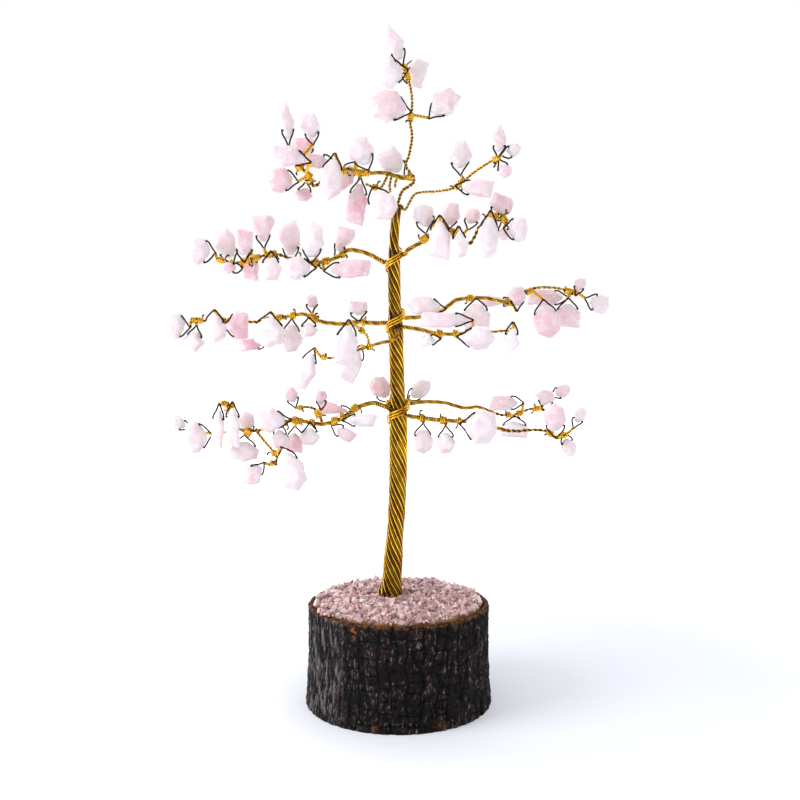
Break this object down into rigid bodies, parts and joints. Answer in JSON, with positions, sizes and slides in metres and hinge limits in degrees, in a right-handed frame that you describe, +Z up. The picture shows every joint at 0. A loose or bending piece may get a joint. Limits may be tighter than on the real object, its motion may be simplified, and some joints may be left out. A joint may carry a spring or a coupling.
{
  "type": "gemstone tree ornament",
  "caption": "Small tree of twisted brass wire with drilled pink stone chips on bendable twigs, planted in gravel on a bark-covered log slice.",
  "frame": {"origin": "middle of the log's flat underside", "axes": "+Z up along the trunk, -Y towards the viewer, +X to the viewer's right"},
  "size_m": [0.1271, 0.0535, 0.1897],
  "materials": {
    "rose_quartz": "tumbled and polished, translucent",
    "brass_wire": "bright drawn wire",
    "loop_wire": "darkened drawn wire",
    "sawn_wood": "sawn end grain",
    "bark": "rough ridged bark",
    "clear_glue": "cured clear glue",
    "gravel": "crushed stone"
  },
  "bodies": {
    "stand": {"log_wood": "sawn_wood", "log_bark": "bark", "glue_plug": "clear_glue", "glue_bed": "clear_glue", "gravel_stones": "gravel", "trunk_core": "brass_wire", "trunk_strands_lower": "brass_wire", "trunk_strands_middle": "brass_wire", "trunk_strands_upper": "brass_wire", "trunk_strands_crown": "brass_wire", "collar_lower": "brass_wire", "collar_middle": "brass_wire", "collar_upper": "brass_wire"},
    "leader": {"leader_stem": "brass_wire", "leader_loops": "loop_wire", "leader_chips": "rose_quartz"},
    "crown_right": {"crown_right_stem": "brass_wire", "crown_right_loops": "loop_wire", "crown_right_chips": "rose_quartz"},
    "crown_left": {"crown_left_stem": "brass_wire", "crown_left_loops": "loop_wire", "crown_left_chips": "rose_quartz"},
    "upper_left": {"upper_left_stem": "brass_wire", "upper_left_loops": "loop_wire", "upper_left_chips": "rose_quartz"},
    "upper_right": {"upper_right_stem": "brass_wire", "upper_right_loops": "loop_wire", "upper_right_chips": "rose_quartz"},
    "middle_left": {"middle_left_stem": "brass_wire", "middle_left_loops": "loop_wire", "middle_left_chips": "rose_quartz"},
    "middle_left_front": {"middle_left_front_stem": "brass_wire", "middle_left_front_loops": "loop_wire", "middle_left_front_chips": "rose_quartz"},
    "middle_right_high": {"middle_right_high_stem": "brass_wire", "middle_right_high_loops": "loop_wire", "middle_right_high_chips": "rose_quartz"},
    "middle_right_low": {"middle_right_low_stem": "brass_wire", "middle_right_low_loops": "loop_wire", "middle_right_low_chips": "rose_quartz"},
    "lower_left": {"lower_left_stem": "brass_wire", "lower_left_loops": "loop_wire", "lower_left_chips": "rose_quartz"},
    "lower_left_front": {"lower_left_front_stem": "brass_wire", "lower_left_front_loops": "loop_wire", "lower_left_front_chips": "rose_quartz"},
    "lower_right_high": {"lower_right_high_stem": "brass_wire", "lower_right_high_loops": "loop_wire", "lower_right_high_chips": "rose_quartz"},
    "lower_right_low": {"lower_right_low_stem": "brass_wire", "lower_right_low_loops": "loop_wire", "lower_right_low_chips": "rose_quartz"},
    "lower_back_left": {"lower_back_left_stem": "brass_wire", "lower_back_left_loops": "loop_wire", "lower_back_left_chips": "rose_quartz"},
    "lower_back_right": {"lower_back_right_stem": "brass_wire", "lower_back_right_loops": "loop_wire", "lower_back_right_chips": "rose_quartz"}
  },
  "joints": [
    {"name": "leader_bend", "type": "hinge", "parent": "stand", "child": "leader", "pos_m": [-0.00005, 0, 0.14078], "axis": [0, 1, 0], "range_deg": [-10, 8]},
    {"name": "crown_right_bend", "type": "hinge", "parent": "stand", "child": "crown_right", "pos_m": [0.00132, 0, 0.13965], "axis": [0, -1, 0], "range_deg": [-10, 10]},
    {"name": "crown_left_bend", "type": "hinge", "parent": "leader", "child": "crown_left", "pos_m": [0.00293, 0, 0.14838], "axis": [0, 1, 0], "range_deg": [-12, 15]},
    {"name": "upper_left_bend", "type": "hinge", "parent": "stand", "child": "upper_left", "pos_m": [-0.00372, 0, 0.12507], "axis": [0, 1, 0], "range_deg": [-12, 9]},
    {"name": "upper_right_bend", "type": "hinge", "parent": "stand", "child": "upper_right", "pos_m": [0.00105, -0.00084, 0.12728], "axis": [-0.342, -0.9397, 0], "range_deg": [-12, 9]},
    {"name": "middle_left_bend", "type": "hinge", "parent": "stand", "child": "middle_left", "pos_m": [-0.00359, 0.00024, 0.10814], "axis": [0.0872, 0.9962, 0], "range_deg": [-12, 12]},
    {"name": "middle_left_front_bend", "type": "hinge", "parent": "stand", "child": "middle_left_front", "pos_m": [-0.00059, -0.00214, 0.10618], "axis": [-0.9962, -0.0872, 0], "range_deg": [-15, 12]},
    {"name": "middle_right_high_bend", "type": "hinge", "parent": "stand", "child": "middle_right_high", "pos_m": [0.00103, 0.00091, 0.10953], "axis": [0.4226, -0.9063, 0], "range_deg": [-12, 12]},
    {"name": "middle_right_low_bend", "type": "hinge", "parent": "stand", "child": "middle_right_low", "pos_m": [0.00105, -0.00107, 0.10702], "axis": [-0.5, -0.866, 0], "range_deg": [-12, 12]},
    {"name": "lower_left_bend", "type": "hinge", "parent": "stand", "child": "lower_left", "pos_m": [-0.00268, -0.00045, 0.08454], "axis": [-0.1736, 0.9848, 0], "range_deg": [-12, 12]},
    {"name": "lower_left_front_bend", "type": "hinge", "parent": "lower_left", "child": "lower_left_front", "pos_m": [-0.03889, -0.00754, 0.07878], "axis": [-0.9848, 0.1736, 0], "range_deg": [-15, 15]},
    {"name": "lower_right_high_bend", "type": "hinge", "parent": "stand", "child": "lower_right_high", "pos_m": [0.00285, 0.00109, 0.08539], "axis": [0.342, -0.9397, 0], "range_deg": [-12, 12]},
    {"name": "lower_right_low_bend", "type": "hinge", "parent": "stand", "child": "lower_right_low", "pos_m": [0.00202, -0.00148, 0.08228], "axis": [-0.5736, -0.8192, 0], "range_deg": [-12, 12]},
    {"name": "lower_back_left_bend", "type": "hinge", "parent": "stand", "child": "lower_back_left", "pos_m": [-0.00179, 0.00198, 0.08426], "axis": [0.766, 0.6428, 0], "range_deg": [-12, 12]},
    {"name": "lower_back_right_bend", "type": "hinge", "parent": "stand", "child": "lower_back_right", "pos_m": [0.00153, 0.00198, 0.08483], "axis": [0.766, -0.6428, 0], "range_deg": [-12, 12]}
  ]
}
